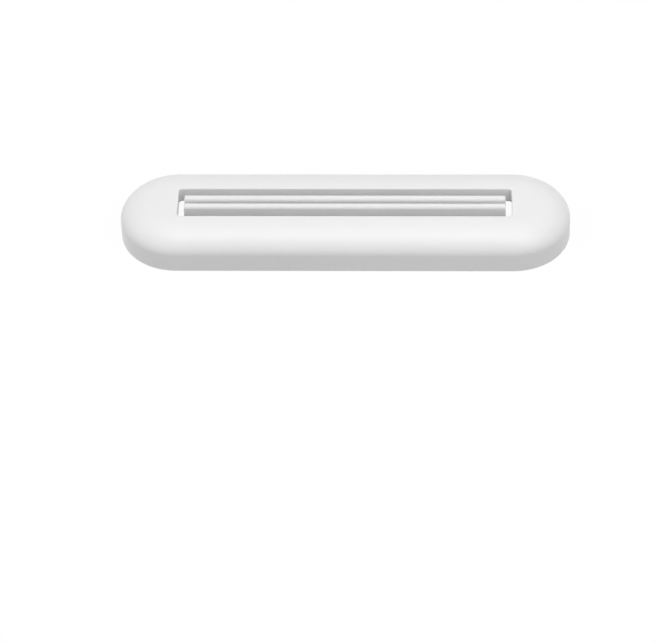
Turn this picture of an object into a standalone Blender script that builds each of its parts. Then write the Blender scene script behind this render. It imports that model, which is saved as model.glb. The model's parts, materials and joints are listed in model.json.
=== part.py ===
"""Slide-on squeezer for a toothpaste tube.

An oval moulded shell has a long slot in its top. Two lips stand in the slot with a narrow gap
between them. A frame that snaps into the underside of the shell holds the round foot of each
lip, so a lip can lean out when the thick end of a tube is forced through.

X runs along the slot, Y across it and Z up. The origin is at the middle of the underside, on the
surface that the skirt of the shell stands on. All lengths are in metres.
"""

import math

import bmesh
import bpy

# Outside of the shell
BODY_LENGTH = 0.0980
BODY_WIDTH = 0.0251
BODY_HEIGHT = 0.0089
SHELL_WALL = 0.0013
SKIRT_EDGE_RADIUS = 0.0002

# Slot in the top, with the collar that hangs round it, and the flat land round the slot
SLOT_WIDTH = 0.00875
SLOT_END_LAND = 0.01275
SLOT_SIDE_LAND = 0.0004
SLOT_CORNER_RADIUS = 0.0008
SLOT_RIM_RADIUS = 0.00034
SLOT_END_DRAFT_DEGREES = 2.5
COLLAR_WALL = 0.0012
COLLAR_SWING_GAP = 0.0010

# Lips
LIP_THICKNESS = 0.0016
LIP_GAP = 0.0010
LIP_RISE = 0.00043
LIP_END_GAP = 0.0013
WEB_THICKNESS = 0.0009
MOUTH_RADIUS = 0.0030
HEEL_RADIUS = 0.0016
BEAD_RADIUS = 0.0011
LEAN_STOP_DEGREES = 12.0

# Frame
FRAME_RECESS = 0.0009
FRAME_FLOOR = 0.0006
BEARING_WALL = 0.0009
RAIL_LAP = 0.0003
WINDOW_END_MARGIN = 0.0012
WINDOW_CORNER_RADIUS = 0.0010

# Clearances between separate pieces
SEAT_GAP = 0.0003
HINGE_CLEARANCE = 0.00012

# Ribs and snap nibs inside the shell
SKIRT_ABOVE_RIBS = 0.00135
RIB_COUNT = 7
RIB_THICKNESS = 0.0009
RIB_END_INSET = 0.0050
NIB_COUNT = 3
NIB_LENGTH = 0.0050
NIB_CATCH = 0.0003
NIB_LAND = 0.00012

# How far cutters run past what they cut
CUT_OVERRUN = 0.0020

# Steps in round stretches
CORNER_STEPS = 11
SHOULDER_STEPS = 12
EDGE_STEPS = 3
CROWN_STEPS = 10
BEND_STEPS = 8
BEAD_STEPS = 18

# Sizes worked out from the ones above
body_radius = BODY_WIDTH / 2
end_centre = BODY_LENGTH / 2 - body_radius
slot_half_length = BODY_LENGTH / 2 - SLOT_END_LAND
slot_half_width = SLOT_WIDTH / 2
lip_half_length = slot_half_length - LIP_END_GAP
groove_radius = BEAD_RADIUS + HINGE_CLEARANCE
frame_radius = body_radius - SHELL_WALL - SEAT_GAP
frame_top = FRAME_RECESS + FRAME_FLOOR + groove_radius
rib_foot = frame_top + SEAT_GAP
skirt_top = rib_foot + SKIRT_ABOVE_RIBS
shoulder_reach = body_radius - slot_half_width - SLOT_SIDE_LAND
shoulder_drop = BODY_HEIGHT - skirt_top
hinge_y = frame_radius - BEARING_WALL - groove_radius
hinge_z = frame_top
web_half = WEB_THICKNESS / 2
lean_stop = math.radians(LEAN_STOP_DEGREES)


def stop_height(y):
    """Height of the web's upper face at a distance y from the middle, with the lip at its stop."""
    return hinge_z + web_half / math.cos(lean_stop) + (hinge_y - y) * math.tan(lean_stop)


collar_bottom = stop_height(slot_half_width) + COLLAR_SWING_GAP


def clear_scene():
    for item in list(bpy.data.objects):
        bpy.data.objects.remove(item, do_unlink=True)


def white_plastic(name, shade, roughness):
    material = bpy.data.materials.new(name)
    material.use_nodes = True
    shader = material.node_tree.nodes["Principled BSDF"]
    shader.inputs["Base Color"].default_value = (shade, shade, shade, 1.0)
    shader.inputs["Roughness"].default_value = roughness
    shader.inputs["Metallic"].default_value = 0.0
    return material


def arc(centre_across, centre_up, radius, start, end, steps):
    """Points along an arc in a section, from one angle in degrees to another, both included."""
    points = []
    for step in range(steps + 1):
        angle = math.radians(start + (end - start) * step / steps)
        across = centre_across + radius * math.cos(angle)
        up = centre_up + radius * math.sin(angle)
        points.append((across, up))
    return points


def oval_loop(radius, height):
    """A ring with two round ends, anticlockwise from above, with as many points as slot_loop."""
    points = []
    steps = 2 * CORNER_STEPS + 2
    for centre, start in ((end_centre, -90), (-end_centre, 90)):
        for x, y in arc(centre, 0, radius, start, start + 180, steps):
            points.append((x, y, height))
    return points


def slot_loop(spread, height):
    """A ring along the slot's outline, moved outwards by spread, anticlockwise from above.

    Under the rim the slot's end walls lean outwards on the way down, by the draft of the mould.
    """
    depth = max(0, BODY_HEIGHT - SLOT_RIM_RADIUS - height)
    half_length = slot_half_length + depth * math.tan(math.radians(SLOT_END_DRAFT_DEGREES))
    corner = SLOT_CORNER_RADIUS + spread
    x_centre = half_length - SLOT_CORNER_RADIUS
    y_centre = slot_half_width - SLOT_CORNER_RADIUS
    points = []
    for side, start in ((1, -90), (-1, 90)):
        near = arc(side * x_centre, -side * y_centre, corner, start, start + 90, CORNER_STEPS)
        far = arc(side * x_centre, side * y_centre, corner, start + 90, start + 180, CORNER_STEPS)
        middle = (side * (half_length + spread), 0)
        for x, y in near + [middle] + far:
            points.append((x, y, height))
    return points


def shoulder_profile(depth):
    """(radius, height) along a quarter ellipse that lies a depth under the shoulder's outside."""
    points = []
    for step in range(SHOULDER_STEPS + 1):
        angle = math.pi / 2 * step / SHOULDER_STEPS
        radius = body_radius - shoulder_reach + (shoulder_reach - depth) * math.cos(angle)
        height = skirt_top + (shoulder_drop - depth) * math.sin(angle)
        points.append((radius, height))
    return points


def outside_of(profile, radius):
    """The part of a profile that lies further out than a radius."""
    return [point for point in profile if point[0] > radius]


def make_object(name, bm, material):
    bmesh.ops.recalc_face_normals(bm, faces=bm.faces)
    mesh = bpy.data.meshes.new(name)
    bm.to_mesh(mesh)
    bm.free()
    if material:
        mesh.materials.append(material)
    made = bpy.data.objects.new(name, mesh)
    bpy.context.scene.collection.objects.link(made)
    return made


def smooth(made):
    made.data.shade_smooth()
    made.data.set_sharp_from_angle(angle=math.radians(30))


def add_prism(bm, outline, low, high, place):
    """A closed prism: place(along, across, up) turns an outline point and a length into x, y, z."""
    ends = []
    for along in (low, high):
        ends.append([bm.verts.new(place(along, across, up)) for across, up in outline])
    first, last = ends
    count = len(outline)
    for index in range(count):
        following = (index + 1) % count
        bm.faces.new((first[index], first[following], last[following], last[index]))
    bm.faces.new(list(reversed(first)))
    bm.faces.new(last)


def along_x(along, across, up):
    return (along, across, up)


def along_x_mirrored(along, across, up):
    return (along, -across, up)


def along_z(along, across, up):
    return (across, up, along)


def helper(name, bm):
    """A shape that only cuts or joins: it isn't a piece of the product."""
    made = make_object(name, bm, None)
    made.hide_render = True
    made.display_type = "WIRE"
    return made


def combine(target, other, operation):
    modifier = target.modifiers.new(other.name, "BOOLEAN")
    modifier.operation = operation
    modifier.object = other
    modifier.solver = "EXACT"


def shell_skin():
    """The bare shell, as rings that run round its wall: outside, slot, collar and inside."""
    rings = []
    edge_centre = body_radius - SKIRT_EDGE_RADIUS
    for radius, height in arc(edge_centre, SKIRT_EDGE_RADIUS, SKIRT_EDGE_RADIUS, -90, 0, EDGE_STEPS):
        rings.append(oval_loop(radius, height))
    for radius, height in shoulder_profile(0):
        rings.append(oval_loop(radius, height))
    rim_centre = BODY_HEIGHT - SLOT_RIM_RADIUS
    for spread, height in arc(SLOT_RIM_RADIUS, rim_centre, SLOT_RIM_RADIUS, 90, 180, EDGE_STEPS):
        rings.append(slot_loop(spread, height))
    rings.append(slot_loop(0, collar_bottom))
    rings.append(slot_loop(COLLAR_WALL, collar_bottom))
    ceiling = outside_of(shoulder_profile(SHELL_WALL), slot_half_width + COLLAR_WALL)
    rings.append(slot_loop(COLLAR_WALL, ceiling[-1][1]))
    for radius, height in reversed(ceiling):
        rings.append(oval_loop(radius, height))
    rings.append(oval_loop(body_radius - SHELL_WALL, 0))
    bm = bmesh.new()
    rings = [[bm.verts.new(point) for point in ring] for ring in rings]
    for ring, following in zip(rings, rings[1:] + rings[:1]):
        for index in range(len(ring)):
            after = (index + 1) % len(ring)
            bm.faces.new((ring[index], ring[after], following[after], following[index]))
    return bm


def rib_outline():
    """One rib across the shell: it joins skirt, top and collar, and bears on the lip's bead."""
    collar_middle = slot_half_width + COLLAR_WALL / 2
    outline = [(body_radius - SHELL_WALL / 2, rib_foot)]
    outline.extend(outside_of(shoulder_profile(SHELL_WALL / 2), collar_middle))
    outline.append((collar_middle, BODY_HEIGHT - SHELL_WALL / 2))
    outline.append((collar_middle, stop_height(collar_middle)))
    along_web = math.sqrt(groove_radius**2 - web_half**2)
    tip_angle = math.degrees(math.pi - lean_stop - math.atan2(web_half, along_web))
    foot_angle = math.degrees(math.asin(SEAT_GAP / groove_radius))
    outline.extend(arc(hinge_y, hinge_z, groove_radius, tip_angle, foot_angle, BEND_STEPS))
    return outline


def rib_set():
    bm = bmesh.new()
    outline = rib_outline()
    reach = lip_half_length - RIB_END_INSET
    for number in range(RIB_COUNT):
        middle = -reach + 2 * reach * number / (RIB_COUNT - 1)
        for place in (along_x, along_x_mirrored):
            low = middle - RIB_THICKNESS / 2
            add_prism(bm, outline, low, low + RIB_THICKNESS, place)
    return helper("shell_ribs", bm)


def nib_set():
    """Small wedges on the inside of the skirt, under the frame, which snap past them."""
    wall = body_radius - SHELL_WALL
    tip = frame_radius - NIB_CATCH
    nib_top = FRAME_RECESS - SEAT_GAP
    outline = (
        (wall + SHELL_WALL / 2, nib_top),
        (tip, nib_top),
        (tip, nib_top - NIB_LAND),
        (wall, NIB_LAND),
        (wall + SHELL_WALL / 2, NIB_LAND),
    )
    bm = bmesh.new()
    reach = lip_half_length - RIB_END_INSET - NIB_LENGTH
    for number in range(NIB_COUNT):
        low = -reach + 2 * reach * number / (NIB_COUNT - 1) - NIB_LENGTH / 2
        for place in (along_x, along_x_mirrored):
            add_prism(bm, outline, low, low + NIB_LENGTH, place)
    return helper("shell_nibs", bm)


def body_shell():
    shell = make_object("body_shell", shell_skin(), white_plastic("shell_white", 0.87, 0.34))
    combine(shell, rib_set(), "UNION")
    combine(shell, nib_set(), "UNION")
    smooth(shell)
    return shell


def lip_outline():
    """The section of a lip, as (distance in from the hinge axis, height over it)."""
    inner_face = hinge_y - LIP_GAP / 2
    outer_face = inner_face - LIP_THICKNESS
    crown_radius = LIP_THICKNESS / 2
    crown_height = BODY_HEIGHT + LIP_RISE - crown_radius - hinge_z
    neck = math.degrees(math.asin(web_half / BEAD_RADIUS))
    outline = arc(0, 0, BEAD_RADIUS, neck, 360 - neck, BEAD_STEPS)
    mouth_centre = (inner_face - MOUTH_RADIUS, MOUTH_RADIUS - web_half)
    outline.extend(arc(*mouth_centre, MOUTH_RADIUS, -90, 0, BEND_STEPS))
    crown_centre = (outer_face + crown_radius, crown_height)
    outline.extend(arc(*crown_centre, crown_radius, 0, 180, CROWN_STEPS))
    heel_centre = (outer_face - HEEL_RADIUS, HEEL_RADIUS + web_half)
    outline.extend(arc(*heel_centre, HEEL_RADIUS, 0, -90, BEND_STEPS))
    return outline


def squeeze_lip(name, side, material):
    """One lip, with its origin on its hinge axis. side is 1 behind the slot's middle, -1 in front."""
    bm = bmesh.new()
    add_prism(bm, lip_outline(), -lip_half_length, lip_half_length, along_x_mirrored)
    lip = make_object(name, bm, material)
    lip.location = (0, side * hinge_y, hinge_z)
    lip.rotation_euler = (0, 0, 0 if side > 0 else math.pi)
    smooth(lip)
    return lip


def window_cutter():
    """The frame's window: narrow between the rails, wider past the ends of the lips."""
    rail_inner = hinge_y - groove_radius - RAIL_LAP
    wide = hinge_y + BEAD_RADIUS / 2
    rail_end = lip_half_length - SEAT_GAP
    window_end = slot_half_length + WINDOW_END_MARGIN
    corner_x = window_end - WINDOW_CORNER_RADIUS
    corner_y = wide - WINDOW_CORNER_RADIUS
    right = [(rail_end, -rail_inner), (rail_end, -wide)]
    right.extend(arc(corner_x, -corner_y, WINDOW_CORNER_RADIUS, -90, 0, EDGE_STEPS))
    right.extend(arc(corner_x, corner_y, WINDOW_CORNER_RADIUS, 0, 90, EDGE_STEPS))
    right.extend([(rail_end, wide), (rail_end, rail_inner)])
    left = [(-x, -y) for x, y in right]
    bm = bmesh.new()
    add_prism(bm, right + left, FRAME_RECESS - CUT_OVERRUN, frame_top + CUT_OVERRUN, along_z)
    return helper("frame_window", bm)


def rail_trim_cutter():
    """Lowers the inner side of both rails, so that the webs of the lips can swing over them."""
    wide = hinge_y + BEAD_RADIUS / 2
    trim_bottom = hinge_z - web_half - SEAT_GAP
    outline = (
        (-wide, trim_bottom),
        (wide, trim_bottom),
        (wide, frame_top + CUT_OVERRUN),
        (-wide, frame_top + CUT_OVERRUN),
    )
    bm = bmesh.new()
    add_prism(bm, outline, -lip_half_length, lip_half_length, along_x)
    return helper("rail_trim", bm)


def groove_cutter(name, side):
    """The round seat that a lip's bead turns in, a little longer than the lip."""
    outline = arc(side * hinge_y, hinge_z, groove_radius, 0, 360, 2 * BEAD_STEPS)[:-1]
    half = lip_half_length + SEAT_GAP
    bm = bmesh.new()
    add_prism(bm, outline, -half, half, along_x)
    return helper(name, bm)


def base_frame():
    bm = bmesh.new()
    outline = [point[:2] for point in oval_loop(frame_radius, 0)]
    add_prism(bm, outline, FRAME_RECESS, frame_top, along_z)
    frame = make_object("base_frame", bm, white_plastic("frame_white", 0.84, 0.45))
    combine(frame, window_cutter(), "DIFFERENCE")
    combine(frame, rail_trim_cutter(), "DIFFERENCE")
    combine(frame, groove_cutter("back_groove", 1), "DIFFERENCE")
    combine(frame, groove_cutter("front_groove", -1), "DIFFERENCE")
    smooth(frame)
    return frame


def build():
    clear_scene()
    body_shell()
    base_frame()
    lip_white = white_plastic("lip_white", 0.84, 0.45)
    squeeze_lip("back_lip", 1, lip_white)
    squeeze_lip("front_lip", -1, lip_white)


build()
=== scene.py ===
import json
import math

import bmesh
import bpy
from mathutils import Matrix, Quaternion, Vector


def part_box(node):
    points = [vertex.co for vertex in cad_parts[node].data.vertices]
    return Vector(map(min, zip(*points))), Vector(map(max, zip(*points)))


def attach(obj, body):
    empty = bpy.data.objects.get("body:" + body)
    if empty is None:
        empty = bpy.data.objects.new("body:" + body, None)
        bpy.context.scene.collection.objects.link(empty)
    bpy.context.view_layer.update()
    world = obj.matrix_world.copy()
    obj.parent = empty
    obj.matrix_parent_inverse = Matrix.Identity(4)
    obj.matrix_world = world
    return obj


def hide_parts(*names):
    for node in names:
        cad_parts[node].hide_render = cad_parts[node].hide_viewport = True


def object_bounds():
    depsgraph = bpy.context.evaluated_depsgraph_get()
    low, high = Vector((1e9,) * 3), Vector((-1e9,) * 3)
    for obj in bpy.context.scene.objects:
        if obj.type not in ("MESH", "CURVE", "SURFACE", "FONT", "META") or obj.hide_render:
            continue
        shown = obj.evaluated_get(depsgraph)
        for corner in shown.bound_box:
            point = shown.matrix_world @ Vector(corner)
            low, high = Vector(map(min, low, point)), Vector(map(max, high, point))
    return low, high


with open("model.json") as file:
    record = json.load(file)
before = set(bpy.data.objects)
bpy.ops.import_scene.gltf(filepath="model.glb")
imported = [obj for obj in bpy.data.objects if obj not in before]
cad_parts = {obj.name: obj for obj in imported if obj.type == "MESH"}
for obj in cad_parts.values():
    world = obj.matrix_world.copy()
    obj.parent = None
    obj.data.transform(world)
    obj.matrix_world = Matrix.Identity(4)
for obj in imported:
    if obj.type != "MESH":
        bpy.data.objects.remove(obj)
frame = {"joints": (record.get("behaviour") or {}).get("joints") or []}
cad_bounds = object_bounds()

# The squeezer's looks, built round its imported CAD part, in the same frame: X along the slot, Y
# across it, Z up. Lengths are in metres and angles in degrees. Each piece follows its CAD node's
# sizes with finer curves, rounded edges and a moulded plastic finish.

# Sizes that the boxes of the CAD nodes don't give

# Shell
SHELL_WALL = 0.0013
SKIRT_EDGE_RADIUS = 0.0002
SKIRT_INNER_RADIUS = 0.0002
SKIRT_TOP = 0.00437
SLOT_HALF_LENGTH = 0.03625
SLOT_HALF_WIDTH = 0.004375
SLOT_SIDE_LAND = 0.0004
SLOT_CORNER_RADIUS = 0.0008
SLOT_RIM_RADIUS = 0.00034
SLOT_END_DRAFT_DEGREES = 2.5
COLLAR_WALL = 0.0012
COLLAR_SWING_GAP = 0.0010
COLLAR_EDGE_RADIUS = 0.0002
COLLAR_ROOT_RADIUS = 0.0004

# Lips
LIP_THICKNESS = 0.0016
WEB_THICKNESS = 0.0009
MOUTH_RADIUS = 0.0030
HEEL_RADIUS = 0.0016
LIP_END_EDGE = 0.00012
LIP_CROWN_DROP = 0.00035
LIP_CROWN_DEPTH = 0.0025
LEAN_STOP_DEGREES = 12.0

# Clearances between pieces
HINGE_CLEARANCE = 0.00012
SEAT_GAP = 0.0003

# Frame, and the marks of ejector pins on it
RAIL_LAP = 0.0003
WINDOW_END_MARGIN = 0.0012
WINDOW_CORNER_RADIUS = 0.0010
FRAME_EDGE = 0.00015
PIN_MARK_RADIUS = 0.0011
PIN_MARK_DEPTH = 0.00006
PIN_MARK_INSET = 0.0048
PIN_MARK_SPREAD = 0.0045

# Ribs and snap nibs inside the shell
RIB_COUNT = 7
RIB_THICKNESS = 0.0009
RIB_END_INSET = 0.0050
NIB_COUNT = 3
NIB_LENGTH = 0.0050
NIB_CATCH = 0.0003
NIB_LAND = 0.00012

# How far cutters reach past what they cut
CUT_OVERRUN = 0.0020

# Edges sharper than this stay sharp in the shading
SHARP_EDGE_DEGREES = 34

# Plastic. Light goes a little way into it: the share that does, how far, and the shares of that
# distance for red, green and blue.
PLASTIC_IOR = 1.48
SUBSURFACE_SHARE = 0.3
SUBSURFACE_DEPTH = 0.0015
SUBSURFACE_COLOUR_SHARES = (1.0, 0.97, 0.94)

# Finish of each slot: shade, lowest and highest roughness, strength of the grain and of the waves
SHELL_FINISH = (0.87, 0.30, 0.38, 0.12, 0.10)
LIP_FINISH = (0.84, 0.42, 0.48, 0.10, 0.02)
FRAME_FINISH = (0.84, 0.40, 0.50, 0.25, 0.10)

# Noise in the plastic, as scale and detail: flow clouds in its colour, patches of unlike gloss,
# slow waves and a fine grain in its surface. The range of the noise is stretched to the whole of
# what it drives.
CLOUD_NOISE = (55.0, 3.0)
PATCH_NOISE = (320.0, 4.0)
WAVE_NOISE = (90.0, 1.0)
GRAIN_NOISE = (3600.0, 2.0)
NOISE_LOW, NOISE_HIGH = 0.3, 0.7
WAVE_HEIGHT = 0.0001
GRAIN_HEIGHT = 0.00003
CLOUD_SHADE_SHARE = 0.985
CLOUD_COLOUR_SHARES = (1.0, 0.999, 0.996)

# Steps in round stretches
CORNER_STEPS = 31
SHOULDER_STEPS = 48
EDGE_STEPS = 8
FINE_STEPS = 5
CROWN_STEPS = 36
BEND_STEPS = 24
BEAD_STEPS = 48

# Camera, as it stood for the photograph: it looks down on the part from in front, a little from
# the right, and is rolled so that the long sides lie level in the picture. SLOT_AT is where the
# middle of the slot's rim lands, in pixels from the left and the top of the picture.
CAMERA_ELEVATION = 42.0
CAMERA_AZIMUTH = 2.4
CAMERA_ROLL = -1.55
CAMERA_SENSOR = 36.0
CAMERA_FOCUS_PIXELS = 3600.0
PIXELS_PER_METRE = 4601.0
CAMERA_CLIP_RATIO = 100
PICTURE_WIDTH, PICTURE_HEIGHT = 655, 643
SLOT_AT = (344.65, 201.93)

# Floor and world. Camera, gloss and transmission see them as white. What lights the matt part is
# softer: the glow and the shade of a lit table, and an ambient light.
FLOOR_SIZE = 6.0
FLOOR_GAP = 0.00005
FLOOR_WHITE = 0.95
TABLE_GLOW = 0.38
TABLE_SHADE = 0.10
WORLD_WHITE = 1.0
WORLD_AMBIENT = 0.25

# Lamps: name, azimuth from the front to the right, elevation, power, and whether gloss shows it
LAMP_DISTANCE = 0.9
LAMP_WIDTH = 0.55
LAMPS = (
    ("top_box", 0, 88, 2.14, True),
    ("high_right_box", 50, 60, 1.26, True),
    ("low_right_box", 50, 35, 1.59, False),
    ("left_box", -50, 35, 0.97, False),
    ("far_left_box", -90, 40, 1.73, False),
    ("back_box", 130, 50, 0.94, False),
)

_, shell_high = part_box("body_shell")
plate_low, plate_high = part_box("base_frame")
lip_low, lip_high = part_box("back_lip")
joint = next(entry for entry in frame["joints"] if entry["child"] == "back_jaw")
hinge_y, hinge_z = joint["pos_m"][1], joint["pos_m"][2]

body_radius = shell_high.y
body_height = shell_high.z
end_centre = shell_high.x - body_radius
shoulder_reach = body_radius - SLOT_HALF_WIDTH - SLOT_SIDE_LAND
shoulder_drop = body_height - SKIRT_TOP
frame_radius = plate_high.y
frame_bottom = plate_low.z
frame_top = plate_high.z
lip_half_length = lip_high.x
lip_half_gap = lip_low.y
bead_radius = lip_high.y - hinge_y
groove_radius = bead_radius + HINGE_CLEARANCE
web_half = WEB_THICKNESS / 2
lean_stop = math.radians(LEAN_STOP_DEGREES)
window_half_width = hinge_y + bead_radius / 2
rib_foot = frame_top + SEAT_GAP


def stop_height(y):
    """Height of the web's upper face at y from the middle, with the lip at its stop."""
    return hinge_z + web_half / math.cos(lean_stop) + (hinge_y - y) * math.tan(lean_stop)


collar_bottom = stop_height(SLOT_HALF_WIDTH) + COLLAR_SWING_GAP


def arc(centre_across, centre_up, radius, start, end, steps):
    """Points along an arc in a section, from one angle in degrees to another, both included."""
    points = []
    for step in range(steps + 1):
        angle = math.radians(start + (end - start) * step / steps)
        across = centre_across + radius * math.cos(angle)
        up = centre_up + radius * math.sin(angle)
        points.append((across, up))
    return points


def oval_loop(radius, height):
    """A ring with two round ends, anticlockwise from above, with as many points as slot_loop."""
    points = []
    steps = 2 * CORNER_STEPS + 2
    for centre, start in ((end_centre, -90), (-end_centre, 90)):
        for x, y in arc(centre, 0, radius, start, start + 180, steps):
            points.append((x, y, height))
    return points


def slot_loop(spread, height):
    """A ring along the slot's outline, moved outwards by spread, anticlockwise from above.

    Under the rim the slot's end walls lean outwards on the way down, by the draft of the mould.
    """
    depth = max(0, body_height - SLOT_RIM_RADIUS - height)
    half_length = SLOT_HALF_LENGTH + depth * math.tan(math.radians(SLOT_END_DRAFT_DEGREES))
    corner = SLOT_CORNER_RADIUS + spread
    x_centre = half_length - SLOT_CORNER_RADIUS
    y_centre = SLOT_HALF_WIDTH - SLOT_CORNER_RADIUS
    points = []
    for side, start in ((1, -90), (-1, 90)):
        near = arc(side * x_centre, -side * y_centre, corner, start, start + 90, CORNER_STEPS)
        far = arc(side * x_centre, side * y_centre, corner, start + 90, start + 180, CORNER_STEPS)
        middle = (side * (half_length + spread), 0)
        for x, y in near + [middle] + far:
            points.append((x, y, height))
    return points


def shoulder_profile(depth):
    """(radius, height) along a quarter ellipse that lies a depth under the shoulder's outside."""
    points = []
    for step in range(SHOULDER_STEPS + 1):
        angle = math.pi / 2 * step / SHOULDER_STEPS
        radius = body_radius - shoulder_reach + (shoulder_reach - depth) * math.cos(angle)
        height = SKIRT_TOP + (shoulder_drop - depth) * math.sin(angle)
        points.append((radius, height))
    return points


def outside_of(profile, radius):
    """The part of a profile that lies further out than a radius."""
    return [point for point in profile if point[0] > radius]


def make_object(name, bm):
    """A new object in the scene with the mesh of bm, which is freed."""
    bmesh.ops.recalc_face_normals(bm, faces=bm.faces)
    mesh = bpy.data.meshes.new(name)
    bm.to_mesh(mesh)
    bm.free()
    made = bpy.data.objects.new(name, mesh)
    bpy.context.scene.collection.objects.link(made)
    return made


def add_prism(bm, outline, low, high, place):
    """A closed prism of an outline: place(along, across, up) gives the x, y and z of a point."""
    ends = []
    for along in (low, high):
        ends.append([bm.verts.new(place(along, across, up)) for across, up in outline])
    first, last = ends
    count = len(outline)
    for index in range(count):
        following = (index + 1) % count
        bm.faces.new((first[index], first[following], last[following], last[index]))
    bm.faces.new(list(reversed(first)))
    bm.faces.new(last)


def along_x(along, across, up):
    return (along, across, up)


def along_x_mirrored(along, across, up):
    return (along, -across, up)


def along_z(along, across, up):
    return (across, up, along)


def bridge(bm, rings, closed):
    """Quads between each ring of points and the next, and back to the first where closed."""
    rings = [[bm.verts.new(point) for point in ring] for ring in rings]
    following_rings = rings[1:] + rings[:1] if closed else rings[1:]
    for ring, following in zip(rings, following_rings):
        for index in range(len(ring)):
            after = (index + 1) % len(ring)
            bm.faces.new((ring[index], ring[after], following[after], following[index]))
    return rings


def combine(target, cutter, operation):
    """Gives an object a Boolean with another. It takes effect in settle."""
    modifier = target.modifiers.new(cutter.name, "BOOLEAN")
    modifier.operation = operation
    modifier.object = cutter
    modifier.solver = "EXACT"


def settle(made):
    """Turns an object's modifiers into its own mesh."""
    bpy.context.view_layer.update()
    evaluated = made.evaluated_get(bpy.context.evaluated_depsgraph_get())
    mesh = bpy.data.meshes.new_from_object(evaluated)
    made.modifiers.clear()
    made.data = mesh


def shade(made):
    made.data.shade_smooth()
    made.data.set_sharp_from_angle(angle=math.radians(SHARP_EDGE_DEGREES))
    weighted = made.modifiers.new("weighted", "WEIGHTED_NORMAL")
    weighted.keep_sharp = True


def finish_piece(made, material, body, node):
    made.data.materials.clear()
    made.data.materials.append(material)
    shade(made)
    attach(made, body)
    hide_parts(node)


# Plastic finishes


def add_noise(nodes, links, coordinates, scale, detail):
    """A noise pattern that stays in place on its piece."""
    noise = nodes.new("ShaderNodeTexNoise")
    noise.inputs["Scale"].default_value = scale
    noise.inputs["Detail"].default_value = detail
    links.new(coordinates.outputs["Object"], noise.inputs["Vector"])
    return noise


def add_range(nodes, links, noise, low, high):
    """The noise stretched over a range of values."""
    spread = nodes.new("ShaderNodeMapRange")
    spread.inputs["From Min"].default_value = NOISE_LOW
    spread.inputs["From Max"].default_value = NOISE_HIGH
    spread.inputs["To Min"].default_value = low
    spread.inputs["To Max"].default_value = high
    links.new(noise.outputs["Fac"], spread.inputs["Value"])
    return spread


def add_bump(nodes, links, noise, strength, height):
    """A relief of that height, in metres, that follows the noise."""
    bump = nodes.new("ShaderNodeBump")
    bump.inputs["Strength"].default_value = strength
    bump.inputs["Distance"].default_value = height
    links.new(noise.outputs["Fac"], bump.inputs["Height"])
    return bump


def moulded_plastic(name, shade_value, rough_low, rough_high, grain_strength, wave_strength):
    """White plastic with faint flow clouding, a fine moulded grain and slightly uneven gloss.

    Light goes a little way into it, which softens its edges and lifts its dark corners.
    """
    material = bpy.data.materials.new(name)
    material.use_nodes = True
    nodes, links = material.node_tree.nodes, material.node_tree.links
    shader = nodes["Principled BSDF"]
    shader.inputs["IOR"].default_value = PLASTIC_IOR
    shader.inputs["Subsurface Weight"].default_value = SUBSURFACE_SHARE
    shader.inputs["Subsurface Radius"].default_value = SUBSURFACE_COLOUR_SHARES
    shader.inputs["Subsurface Scale"].default_value = SUBSURFACE_DEPTH
    coordinates = nodes.new("ShaderNodeTexCoord")

    clouds = add_noise(nodes, links, coordinates, *CLOUD_NOISE)
    tint = nodes.new("ShaderNodeMix")
    tint.data_type = "RGBA"
    thin = shade_value * CLOUD_SHADE_SHARE
    tint.inputs["A"].default_value = [thin * share for share in CLOUD_COLOUR_SHARES] + [1.0]
    tint.inputs["B"].default_value = (shade_value, shade_value, shade_value, 1.0)
    cloud_share = add_range(nodes, links, clouds, 0.0, 1.0)
    links.new(cloud_share.outputs["Result"], tint.inputs["Factor"])
    links.new(tint.outputs["Result"], shader.inputs["Base Color"])

    patches = add_noise(nodes, links, coordinates, *PATCH_NOISE)
    roughness = add_range(nodes, links, patches, rough_low, rough_high)
    links.new(roughness.outputs["Result"], shader.inputs["Roughness"])

    waves = add_noise(nodes, links, coordinates, *WAVE_NOISE)
    slow_bump = add_bump(nodes, links, waves, wave_strength, WAVE_HEIGHT)
    grain = add_noise(nodes, links, coordinates, *GRAIN_NOISE)
    fine_bump = add_bump(nodes, links, grain, grain_strength, GRAIN_HEIGHT)
    links.new(slow_bump.outputs["Normal"], fine_bump.inputs["Normal"])
    links.new(fine_bump.outputs["Normal"], shader.inputs["Normal"])
    return material


# Shell


def shell_rings():
    """Rings that run round the shell's wall: outside, slot, collar and inside."""
    rings = []
    foot = SKIRT_EDGE_RADIUS
    for radius, height in arc(body_radius - foot, foot, foot, -90, 0, EDGE_STEPS):
        rings.append(oval_loop(radius, height))
    for radius, height in shoulder_profile(0):
        rings.append(oval_loop(radius, height))
    rim = SLOT_RIM_RADIUS
    for spread, height in arc(rim, body_height - rim, rim, 90, 180, EDGE_STEPS):
        rings.append(slot_loop(spread, height))
    edge = COLLAR_EDGE_RADIUS
    for spread, height in arc(edge, collar_bottom + edge, edge, 180, 270, FINE_STEPS):
        rings.append(slot_loop(spread, height))
    outer_edge = COLLAR_WALL - edge
    for spread, height in arc(outer_edge, collar_bottom + edge, edge, 270, 360, FINE_STEPS):
        rings.append(slot_loop(spread, height))
    root = COLLAR_ROOT_RADIUS
    ceiling = outside_of(shoulder_profile(SHELL_WALL), SLOT_HALF_WIDTH + COLLAR_WALL + root)
    root_up = ceiling[-1][1] - root
    for spread, height in arc(COLLAR_WALL + root, root_up, root, 180, 90, FINE_STEPS):
        rings.append(slot_loop(spread, height))
    for radius, height in reversed(ceiling):
        rings.append(oval_loop(radius, height))
    inner = SKIRT_INNER_RADIUS
    inner_centre = body_radius - SHELL_WALL + inner
    for radius, height in arc(inner_centre, inner, inner, 180, 270, FINE_STEPS):
        rings.append(oval_loop(radius, height))
    return rings


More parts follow.
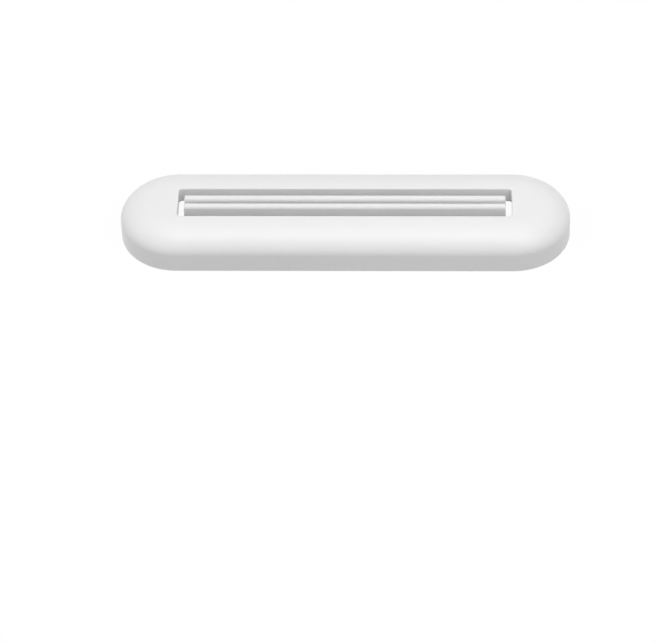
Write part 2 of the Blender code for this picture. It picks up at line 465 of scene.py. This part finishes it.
def rib_outline():
    """One rib across the shell: it joins skirt, top and collar, and bears on the lip's bead."""
    collar_middle = SLOT_HALF_WIDTH + COLLAR_WALL / 2
    outline = [(body_radius - SHELL_WALL / 2, rib_foot)]
    outline.extend(outside_of(shoulder_profile(SHELL_WALL / 2), collar_middle))
    outline.append((collar_middle, body_height - SHELL_WALL / 2))
    outline.append((collar_middle, stop_height(collar_middle)))
    along_web = math.sqrt(groove_radius**2 - web_half**2)
    tip_angle = math.degrees(math.pi - lean_stop - math.atan2(web_half, along_web))
    foot_angle = math.degrees(math.asin(SEAT_GAP / groove_radius))
    outline.extend(arc(hinge_y, hinge_z, groove_radius, tip_angle, foot_angle, BEND_STEPS))
    return outline


def rib_set():
    bm = bmesh.new()
    outline = rib_outline()
    reach = lip_half_length - RIB_END_INSET
    for number in range(RIB_COUNT):
        middle = -reach + 2 * reach * number / (RIB_COUNT - 1)
        for place in (along_x, along_x_mirrored):
            low = middle - RIB_THICKNESS / 2
            add_prism(bm, outline, low, low + RIB_THICKNESS, place)
    return make_object("shell_ribs", bm)


def nib_set():
    """Small wedges on the inside of the skirt, under the frame."""
    wall = body_radius - SHELL_WALL
    tip = frame_radius - NIB_CATCH
    nib_top = frame_bottom - SEAT_GAP
    outline = (
        (wall + SHELL_WALL / 2, nib_top),
        (tip, nib_top),
        (tip, nib_top - NIB_LAND),
        (wall, NIB_LAND),
        (wall + SHELL_WALL / 2, NIB_LAND),
    )
    bm = bmesh.new()
    reach = lip_half_length - RIB_END_INSET - NIB_LENGTH
    for number in range(NIB_COUNT):
        low = -reach + 2 * reach * number / (NIB_COUNT - 1) - NIB_LENGTH / 2
        for place in (along_x, along_x_mirrored):
            add_prism(bm, outline, low, low + NIB_LENGTH, place)
    return make_object("shell_nibs", bm)


def outer_shell(material):
    """The oval shell with its slot, ribs and nibs."""
    bm = bmesh.new()
    bridge(bm, shell_rings(), True)
    shell = make_object("outer_shell", bm)
    helpers = (rib_set(), nib_set())
    for helper in helpers:
        combine(shell, helper, "UNION")
    settle(shell)
    for helper in helpers:
        bpy.data.objects.remove(helper, do_unlink=True)
    finish_piece(shell, material, "shell", "body_shell")


# Lips


def lip_outline():
    """The section of a lip, as (distance in from the hinge axis, height over it)."""
    inner_face = hinge_y - lip_half_gap
    outer_face = inner_face - LIP_THICKNESS
    crown_radius = LIP_THICKNESS / 2
    crown_height = lip_high.z - crown_radius - hinge_z
    neck = math.degrees(math.asin(web_half / bead_radius))
    outline = arc(0, 0, bead_radius, neck, 360 - neck, BEAD_STEPS)
    mouth_centre = (inner_face - MOUTH_RADIUS, MOUTH_RADIUS - web_half)
    outline.extend(arc(*mouth_centre, MOUTH_RADIUS, -90, 0, BEND_STEPS))
    crown_centre = (outer_face + crown_radius, crown_height)
    outline.extend(arc(*crown_centre, crown_radius, 0, 180, CROWN_STEPS))
    heel_centre = (outer_face - HEEL_RADIUS, HEEL_RADIUS + web_half)
    outline.extend(arc(*heel_centre, HEEL_RADIUS, 0, -90, BEND_STEPS))
    return [Vector(point) for point in outline]


def inset_outline(outline, distance):
    """The anticlockwise outline moved inwards along its corners' normals."""
    moved = []
    for index, point in enumerate(outline):
        before = (point - outline[index - 1]).normalized()
        after = (outline[(index + 1) % len(outline)] - point).normalized()
        along = (before + after).normalized()
        inwards = Vector((-along.y, along.x))
        moved.append(point + inwards * distance)
    return moved


def rounding(depth, radius):
    """How far a rounded edge of that radius stands back at a depth in from the end."""
    if depth >= radius:
        return 0
    return radius - math.sqrt(radius**2 - (radius - depth) ** 2)


def lip(name, side, material, body, node):
    """One lip. Its section stands back a little at the cut ends, and its crown dips there."""
    outline = lip_outline()
    crown_top = max(point.y for point in outline)
    depths = set()
    for radius in (LIP_END_EDGE, LIP_CROWN_DROP):
        for step in range(EDGE_STEPS + 1):
            depths.add(radius * (1 - math.cos(math.pi / 2 * step / EDGE_STEPS)))
    stations = [(-1, depth) for depth in sorted(depths)]
    stations += [(1, depth) for depth in sorted(depths, reverse=True)]
    rings = []
    for end, depth in stations:
        drop = rounding(depth, LIP_CROWN_DROP)
        ring = []
        for point in inset_outline(outline, rounding(depth, LIP_END_EDGE)):
            share = max(0, 1 - (crown_top - point.y) / LIP_CROWN_DEPTH)
            up = hinge_z + point.y - drop * share
            x = end * (lip_half_length - depth)
            ring.append((side * x, side * (hinge_y - point.x), up))
        rings.append(ring)
    bm = bmesh.new()
    made_rings = bridge(bm, rings, False)
    bm.faces.new(made_rings[0])
    bm.faces.new(made_rings[-1])
    made = make_object(name, bm)
    finish_piece(made, material, body, node)


# Frame under the lips


def window_cutter():
    """The frame's window: narrow between the rails, wider past the ends of the lips."""
    rail_inner = hinge_y - groove_radius - RAIL_LAP
    rail_end = lip_half_length - SEAT_GAP
    corner_x = SLOT_HALF_LENGTH + WINDOW_END_MARGIN - WINDOW_CORNER_RADIUS
    corner_y = window_half_width - WINDOW_CORNER_RADIUS
    right = [(rail_end, -rail_inner), (rail_end, -window_half_width)]
    right.extend(arc(corner_x, -corner_y, WINDOW_CORNER_RADIUS, -90, 0, EDGE_STEPS))
    right.extend(arc(corner_x, corner_y, WINDOW_CORNER_RADIUS, 0, 90, EDGE_STEPS))
    right.extend([(rail_end, window_half_width), (rail_end, rail_inner)])
    left = [(-x, -y) for x, y in right]
    bm = bmesh.new()
    add_prism(bm, right + left, frame_bottom - CUT_OVERRUN, frame_top + CUT_OVERRUN, along_z)
    return make_object("frame_window", bm)


def rail_trim_cutter():
    """Lowers the inner side of both rails, under the webs of the lips."""
    trim_bottom = hinge_z - web_half - SEAT_GAP
    outline = (
        (-window_half_width, trim_bottom),
        (window_half_width, trim_bottom),
        (window_half_width, frame_top + CUT_OVERRUN),
        (-window_half_width, frame_top + CUT_OVERRUN),
    )
    bm = bmesh.new()
    add_prism(bm, outline, -lip_half_length, lip_half_length, along_x)
    return make_object("rail_trim", bm)


def groove_cutter(name, side):
    """The round groove that a lip's foot turns in, with its clearance."""
    outline = arc(side * hinge_y, hinge_z, groove_radius, 0, 360, 2 * BEAD_STEPS)[:-1]
    half = lip_half_length + SEAT_GAP
    bm = bmesh.new()
    add_prism(bm, outline, -half, half, along_x)
    return make_object(name, bm)


def pin_mark_cutter():
    """Shallow round marks that ejector pins leave on the underside of the frame's ends."""
    bm = bmesh.new()
    centre_x = end_centre + frame_radius - PIN_MARK_INSET
    for x in (-centre_x, centre_x):
        for y in (-PIN_MARK_SPREAD, PIN_MARK_SPREAD):
            outline = arc(x, y, PIN_MARK_RADIUS, 0, 360, BEAD_STEPS)[:-1]
            top = frame_bottom + PIN_MARK_DEPTH
            add_prism(bm, outline, frame_bottom - CUT_OVERRUN, top, along_z)
    return make_object("pin_marks", bm)


def lip_frame(material):
    """The plate that holds the feet of both lips, with its window, grooves and marks."""
    rings = []
    edge = FRAME_EDGE
    out = frame_radius - edge
    for radius, height in arc(out, frame_bottom + edge, edge, -90, 0, FINE_STEPS):
        rings.append(oval_loop(radius, height))
    for radius, height in arc(out, frame_top - edge, edge, 0, 90, FINE_STEPS):
        rings.append(oval_loop(radius, height))
    bm = bmesh.new()
    made_rings = bridge(bm, rings, False)
    bm.faces.new(made_rings[0])
    bm.faces.new(made_rings[-1])
    plate = make_object("lip_frame", bm)
    cutters = [
        window_cutter(),
        rail_trim_cutter(),
        groove_cutter("back_groove", 1),
        groove_cutter("front_groove", -1),
        pin_mark_cutter(),
    ]
    for cutter in cutters:
        combine(plate, cutter, "DIFFERENCE")
    settle(plate)
    for cutter in cutters:
        bpy.data.objects.remove(cutter, do_unlink=True)
    finish_piece(plate, material, "shell", "base_frame")


# Floor, light and camera


def background_share(nodes, links):
    """1 for rays that see the background as white: camera, glossy and transmission rays."""
    path = nodes.new("ShaderNodeLightPath")
    total = path.outputs["Is Camera Ray"]
    for name in ("Is Glossy Ray", "Is Transmission Ray"):
        larger = nodes.new("ShaderNodeMath")
        larger.operation = "MAXIMUM"
        links.new(total, larger.inputs[0])
        links.new(path.outputs[name], larger.inputs[1])
        total = larger.outputs[0]
    return total


def white_for_background(nodes, links, plain, white):
    """The white output for the rays of background_share, and the plain one for all others."""
    choice = nodes.new("ShaderNodeMixShader")
    links.new(background_share(nodes, links), choice.inputs["Fac"])
    links.new(plain, choice.inputs[1])
    links.new(white, choice.inputs[2])
    return choice.outputs["Shader"]


def glowing(nodes, links, glow_strength, shade_value):
    """The output of a matt surface that also glows, as a lit table does."""
    matt = nodes.new("ShaderNodeBsdfDiffuse")
    matt.inputs["Color"].default_value = (shade_value, shade_value, shade_value, 1.0)
    glow = nodes.new("ShaderNodeEmission")
    glow.inputs["Strength"].default_value = glow_strength
    both = nodes.new("ShaderNodeAddShader")
    links.new(matt.outputs["BSDF"], both.inputs[0])
    links.new(glow.outputs["Emission"], both.inputs[1])
    return both.outputs["Shader"]


def make_floor(low, high):
    """A plain lit table that looks white, and darkens a little where the squeezer shades it."""
    material = bpy.data.materials.new("floor_white")
    material.use_nodes = True
    nodes, links = material.node_tree.nodes, material.node_tree.links
    nodes.clear()
    output = nodes.new("ShaderNodeOutputMaterial")
    table = glowing(nodes, links, TABLE_GLOW, TABLE_SHADE)
    white = glowing(nodes, links, FLOOR_WHITE, 1 - FLOOR_WHITE)
    surface = white_for_background(nodes, links, table, white)
    links.new(surface, output.inputs["Surface"])

    centre = (low + high) / 2
    half = FLOOR_SIZE / 2
    bm = bmesh.new()
    corners = ((-half, -half), (half, -half), (half, half), (-half, half))
    height = low.z - FLOOR_GAP
    bm.faces.new([bm.verts.new((centre.x + x, centre.y + y, height)) for x, y in corners])
    floor = make_object("floor", bm)
    floor.data.materials.append(material)


def even_light(nodes, strength):
    """The output of a plain white surrounding."""
    background = nodes.new("ShaderNodeBackground")
    background.inputs["Color"].default_value = (1.0, 1.0, 1.0, 1.0)
    background.inputs["Strength"].default_value = strength
    return background.outputs["Background"]


def make_world():
    world = bpy.data.worlds.new("studio")
    bpy.context.scene.world = world
    world.use_nodes = True
    nodes, links = world.node_tree.nodes, world.node_tree.links
    nodes.clear()
    output = nodes.new("ShaderNodeOutputWorld")
    ambient = even_light(nodes, WORLD_AMBIENT)
    white = even_light(nodes, WORLD_WHITE)
    surface = white_for_background(nodes, links, ambient, white)
    links.new(surface, output.inputs["Surface"])


def direction(azimuth, elevation):
    """The way from the part at an azimuth from the front to the right, and an elevation."""
    turn, rise = math.radians(azimuth), math.radians(elevation)
    level = math.cos(rise)
    return Vector((math.sin(turn) * level, -math.cos(turn) * level, math.sin(rise)))


def softbox(name, azimuth, elevation, power, in_gloss):
    """A square soft light that faces the part."""
    away = direction(azimuth, elevation)
    lamp = bpy.data.lights.new(name, "AREA")
    lamp.shape = "SQUARE"
    lamp.size = LAMP_WIDTH
    lamp.energy = power
    holder = bpy.data.objects.new(name, lamp)
    holder.location = away * LAMP_DISTANCE
    holder.rotation_mode = "QUATERNION"
    holder.rotation_quaternion = away.to_track_quat("Z", "Y")
    holder.visible_camera = False
    holder.visible_glossy = in_gloss
    bpy.context.scene.collection.objects.link(holder)


def make_camera():
    """Stands the camera on the ray through the slot's middle, then aims and rolls it."""
    distance = CAMERA_FOCUS_PIXELS / PIXELS_PER_METRE
    data = bpy.data.cameras.new("camera")
    data.sensor_width = CAMERA_SENSOR
    data.lens = CAMERA_FOCUS_PIXELS * CAMERA_SENSOR / PICTURE_WIDTH
    data.clip_start = distance / CAMERA_CLIP_RATIO
    data.clip_end = distance * CAMERA_CLIP_RATIO
    camera = bpy.data.objects.new("camera", data)
    away = direction(CAMERA_AZIMUTH, CAMERA_ELEVATION)
    camera.location = Vector((0, 0, body_height)) + away * distance
    level = away.to_track_quat("Z", "Y")
    across = (SLOT_AT[0] - PICTURE_WIDTH / 2) / CAMERA_FOCUS_PIXELS
    up = (PICTURE_HEIGHT / 2 - SLOT_AT[1]) / CAMERA_FOCUS_PIXELS
    swing = Vector((across, up, -1)).rotation_difference(Vector((0, 0, -1)))
    roll = Quaternion((0, 0, 1), math.radians(CAMERA_ROLL))
    camera.rotation_mode = "QUATERNION"
    camera.rotation_quaternion = level @ roll @ swing
    bpy.context.scene.collection.objects.link(camera)
    bpy.context.scene.camera = camera


bpy.context.scene.view_settings.view_transform = "Standard"

shell_plastic = moulded_plastic("shell_white", *SHELL_FINISH)
lip_plastic = moulded_plastic("lip_white", *LIP_FINISH)
frame_plastic = moulded_plastic("frame_white", *FRAME_FINISH)
outer_shell(shell_plastic)
lip("back_wiper", 1, lip_plastic, "back_jaw", "back_lip")
lip("front_wiper", -1, lip_plastic, "front_jaw", "front_lip")
lip_frame(frame_plastic)

make_floor(*cad_bounds)
make_world()
for lamp_entry in LAMPS:
    softbox(*lamp_entry)
make_camera()
